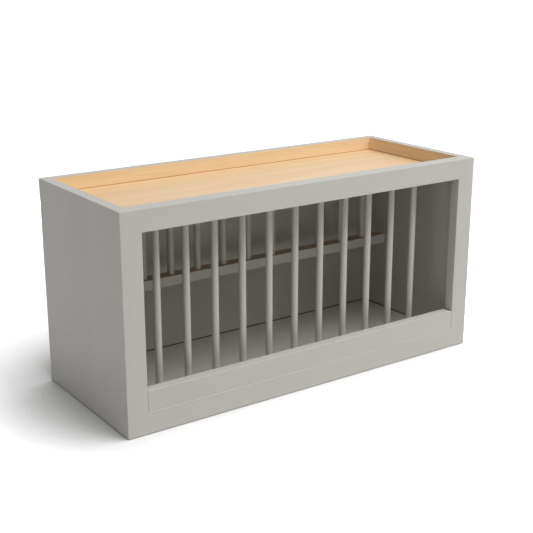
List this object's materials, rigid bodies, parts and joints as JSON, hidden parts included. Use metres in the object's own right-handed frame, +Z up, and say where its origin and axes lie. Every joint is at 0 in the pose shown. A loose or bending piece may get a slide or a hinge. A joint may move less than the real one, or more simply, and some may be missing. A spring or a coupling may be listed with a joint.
{
  "type": "plate rack cabinet",
  "caption": "Grey painted wooden wall plate rack with a face frame, open front, two rows of upright dowels that hold plates on edge, a guard rail and a bare wood recessed top.",
  "frame": {"origin": "middle of the base, on the plane it stands on", "axes": "+X along the width to the right as seen from the front, +Y to the back, +Z up; front faces -Y"},
  "size_m": [0.762, 0.3048, 0.381],
  "materials": {
    "grey_paint": "satin grey paint",
    "rail_wood": "satin grey paint, bare on top",
    "dowel_paint": "satin grey paint",
    "bare_wood": "clear-coated birch"
  },
  "bodies": {
    "root": {"left_side_panel": "grey_paint", "right_side_panel": "grey_paint", "back_board": "grey_paint", "floor_board": "grey_paint", "left_stile": "grey_paint", "right_stile": "grey_paint", "top_rail": "grey_paint", "bottom_rail": "grey_paint", "guard_rail": "grey_paint", "top_rail_cleat": "grey_paint", "rear_cross_rail": "rail_wood", "front_dowel_01": "dowel_paint", "front_dowel_02": "dowel_paint", "front_dowel_03": "dowel_paint", "front_dowel_04": "dowel_paint", "front_dowel_05": "dowel_paint", "front_dowel_06": "dowel_paint", "front_dowel_07": "dowel_paint", "front_dowel_08": "dowel_paint", "front_dowel_09": "dowel_paint", "front_dowel_10": "dowel_paint", "front_dowel_11": "dowel_paint", "rear_dowel_01": "dowel_paint", "rear_dowel_02": "dowel_paint", "rear_dowel_03": "dowel_paint", "rear_dowel_04": "dowel_paint", "rear_dowel_05": "dowel_paint", "rear_dowel_06": "dowel_paint", "rear_dowel_07": "dowel_paint", "rear_dowel_08": "dowel_paint", "rear_dowel_09": "dowel_paint", "rear_dowel_10": "dowel_paint", "rear_dowel_11": "dowel_paint", "top_board": "bare_wood"}
  },
  "joints": []
}
